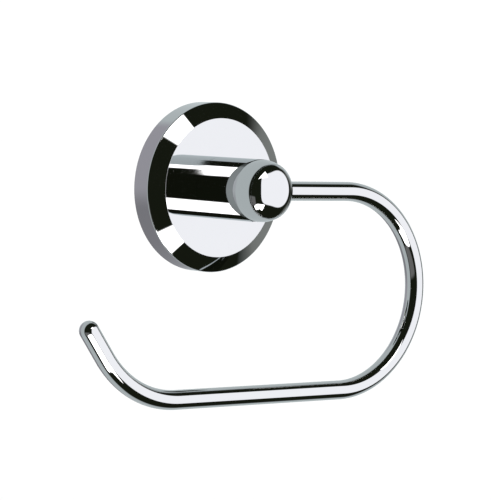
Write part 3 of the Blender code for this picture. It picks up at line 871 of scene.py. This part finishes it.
def add_bracket(zinc):
    """Die-cast disc: a pad and a ring bear on the wall, two countersunk slots take the screws."""
    pad, ring, relief, recess, web = 7.0, 18.4, 0.6, 7.6, 1.5
    profile = rounded([
        (web, 0, 0),
        (0, 0, 0),
        (0, pad, 0.12),
        (relief, pad + 0.1, 0.2),
        (relief, ring - 0.1, 0.2),
        (0, ring, 0.12),
        (0, 20.4, 0.15),
        (4.0, BRACKET_RIM, 0.25),
        (BRACKET_DEPTH, BRACKET_RIM, 0.3),
        (BRACKET_DEPTH, recess, 0.3),
        (web, recess, 0.4),
    ])
    profile = profile[1:] + profile[:1]
    bracket = lathe("bracket_casting", profile, zinc, sides=192)
    neck, head = 2.4, 4.2
    outline = [(-2, neck), (SCREW_TOP - head + neck, neck), (SCREW_TOP, head), (8, head)]
    cone = [(-2, 0)] + outline + [(8, 0)]
    cutters = []
    for height in (SCREW_HEIGHT, -SCREW_HEIGHT):
        for x in (-2, 2):
            cutters.append(lathe_mesh("slot_end", cone, (x, 0, height), OUT_OF_WALL, SMALL))
        cutters.append(slot_middle(outline, height))
    for x in (-13.5, 13.5):
        mark = drill_profile(1.6, -1, relief + 0.15)
        cutters.append(lathe_mesh("ejector_mark", mark, (x, 0, 0), OUT_OF_WALL, SMALL))
    carve(bracket, cutters)
    place_piece(bracket, FITTING, "wall_bracket")


def slot_middle(outline, height):
    """The straight part of a countersunk slot, between its two turned ends."""
    loop = [(depth, height + half) for depth, half in outline]
    loop += [(depth, height - half) for depth, half in reversed(outline)]
    verts = [Vector((x, -depth, z)) * MM for x in (-2, 2) for depth, z in loop]
    count = len(loop)
    faces = [tuple(range(count)), tuple(range(count, 2 * count))]
    for index in range(count):
        after = (index + 1) % count
        faces.append((index, after, after + count, index + count))
    return closed_mesh("slot_middle", verts, faces)


def add_wall_screws(steel):
    """Countersunk screws with a cross recess and a coarse helical thread."""
    top = SCREW_TOP
    profile = [(-top, 0), (-top, 3.7), (-top + 0.12, 3.8), (-top + 1.75, 2.05)]
    profile += [(-top + 1.95, 1.95), (0.2, 1.95), (0.8, 2.0), (17.6, 2.0), (20.4, 0.55), (21, 0)]
    thread = (0.8, 20.2, 1.75, 0.55)
    for place, height in (("upper", SCREW_HEIGHT), ("lower", -SCREW_HEIGHT)):
        centre = (0, 0, height)
        screw = lathe("screw_wall_" + place, profile, steel, centre, INTO_WALL, 48, thread)
        cutters = []
        for turn in (radians(20), radians(110)):
            at = Matrix.Translation(Vector((0, -top, height)) * MM)
            cutters.append(block_mesh((4.0, 3.0, 0.85), at @ Matrix.Rotation(turn, 4, "Y")))
            at = Matrix.Translation(Vector((0, -top + 1.2, height)) * MM)
            cutters.append(block_mesh((1.9, 3.2, 0.75), at @ Matrix.Rotation(turn, 4, "Y")))
        carve(screw, cutters)
        place_piece(screw, FITTING, "wall_screw_" + place)


def add_wall_plugs(plastic):
    """Ribbed nylon sleeves, split over most of their length."""
    bore, body, rib = 2.1, 3.3, 0.4
    start, ribs, slit_start = 2.2, 7, 7
    pitch = (PLUG_END - 2 * start) / ribs
    loop = [(0.1, bore, 0.1), (0.1, body + 0.1, 0.15), (1.3, body + 0.1, 0.1)]
    for index in range(ribs):
        near = start + pitch * index
        loop.append((near, body - 0.1, 0.1))
        loop.append((near + 0.35 * pitch, body + rib, 0.12))
    loop += [(PLUG_END - 1.6, body - 0.1, 0.3), (PLUG_END, body - 0.7, 0.3)]
    loop.append((PLUG_END, bore - 0.3, 0.15))
    for place, height in (("upper", SCREW_HEIGHT), ("lower", -SCREW_HEIGHT)):
        centre = (0, 0, height)
        plug = lathe("plug_" + place, rounded(loop), plastic, centre, INTO_WALL, SMALL)
        length = PLUG_END - slit_start + 2
        at = Matrix.Translation(Vector((0, slit_start + length / 2, height)) * MM)
        cutters = [block_mesh((14, length, 0.9), at)]
        for side in (-1, 1):
            notch = Matrix.Translation(Vector((0, PLUG_END - 2, height + side * 3.4)) * MM)
            cutters.append(block_mesh((0.9, 9, 1.4), notch))
        carve(plug, cutters)
        place_piece(plug, FITTING, "wall_plug_" + place)


def add_grub_screw(steel):
    """Cone-point screw that locks the rosette on the bracket, from below."""
    profile = [(23.6, 0), (24.0, 0.35), (25.4, 1.85), (25.5, 2.0), (27.0, 2.0), (27.15, 1.85)]
    profile.append((27.15, 0))
    centre = (0, -GRUB_DEPTH, 0)
    thread = (25.3, 27.1, 0.6, 0.22)
    screw = lathe("grub_screw", profile, steel, centre, DOWN, 64, thread)
    carve(screw, [lathe_mesh("hex", drill_profile(SOCKET, 25.6, 29), centre, DOWN, 6)])
    place_piece(screw, FITTING, "rosette_grub_screw")


def add_post_fixing(steel):
    """Socket screw, spring washer and flat washer behind the rosette's face, and the dowel."""
    profile = rounded([
        (2.2, 0, 0),
        (2.2, 4.5, 0.4),
        (5.0, 4.5, 0.1),
        (5.0, 2.5, 0.15),
        (20.1, 2.5, 0.1),
        (20.5, 2.1, 0.05),
        (20.5, 0, 0),
    ])
    screw = lathe("socket_screw", profile, steel, thread=(8, 20.4, 0.8, 0.42))
    carve(screw, [lathe_mesh("hex", drill_profile(2.0, 0, 4.2), (0, 0, 0), OUT_OF_WALL, 6)])
    place_piece(screw, FITTING, "post_fixing_screw")

    ring = rounded([(6.9, 2.65, 0.1), (6.9, 4.8, 0.1), (7.85, 4.8, 0.1), (7.85, 2.65, 0.1)])
    flat = lathe("plain_washer", ring, steel)
    place_piece(flat, FITTING, "post_flat_washer")

    ring = rounded([(5.1, 2.6, 0.05), (5.1, 4.4, 0.1), (6.8, 4.4, 0.1), (6.8, 2.6, 0.05)])
    sprung = lathe("split_washer", ring, steel)
    tilt = Matrix.Rotation(radians(25), 4, "Z")
    at = Matrix.Translation(Vector((0, -5.95, 4.4)) * MM)
    carve(sprung, [block_mesh((0.6, 6, 6), at @ tilt)])
    place_piece(sprung, FITTING, "post_spring_washer")

    pin = rounded([(7.2, 0, 0), (7.2, 1.2, 0.2), (15.5, 1.2, 0.2), (15.5, 0, 0)])
    dowel = lathe("dowel", pin, steel, (0, 0, PIN_HEIGHT), sides=64)
    place_piece(dowel, FITTING, "post_locating_pin")


def add_arm_fixing(steel, plastic):
    """Two nylon bushes on the arm's pivot, and the dog-point screw between them."""
    centre = (0, -ARM_DEPTH, 0)
    for name, start, end in (("outer", 2.6, SHOULDER - 0.3), ("inner", PIVOT_END, -2.6)):
        ring = [(start, 2.25), (start, 3.18), (end, 3.18), (end, 2.25)]
        ring = rounded([(along, radius, 0.1) for along, radius in ring])
        bush = lathe("bush_" + name, ring, plastic, centre, RIGHT)
        place_piece(bush, FITTING, "arm_bush_" + name)
    profile = rounded([
        (-1.8, 0, 0),
        (-1.8, 1.0, 0.1),
        (-3.4, 1.0, 0.1),
        (-3.8, 2.0, 0.1),
        (-9.2, 2.0, 0.15),
        (-9.2, 0, 0),
    ])
    thread = (-9.1, -3.9, 0.7, 0.3)
    screw = lathe("dog_screw", profile, steel, centre, UP, 64, thread)
    carve(screw, [lathe_mesh("hex", drill_profile(SOCKET, -12, -7.4), centre, UP, 6)])
    place_piece(screw, FITTING, "arm_retaining_screw")


def main():
    add_camera()
    add_world()
    add_floor()
    bright = chrome()
    add_rosette(bright, dull_plate())
    add_post(bright)
    add_end_cap(bright)
    add_arm(bright)
    zinc, steel, plastic = cast_zinc(), plated_steel(), nylon()
    add_bracket(zinc)
    add_wall_screws(steel)
    add_wall_plugs(plastic)
    add_grub_screw(steel)
    add_post_fixing(steel)
    add_arm_fixing(steel, plastic)


main()
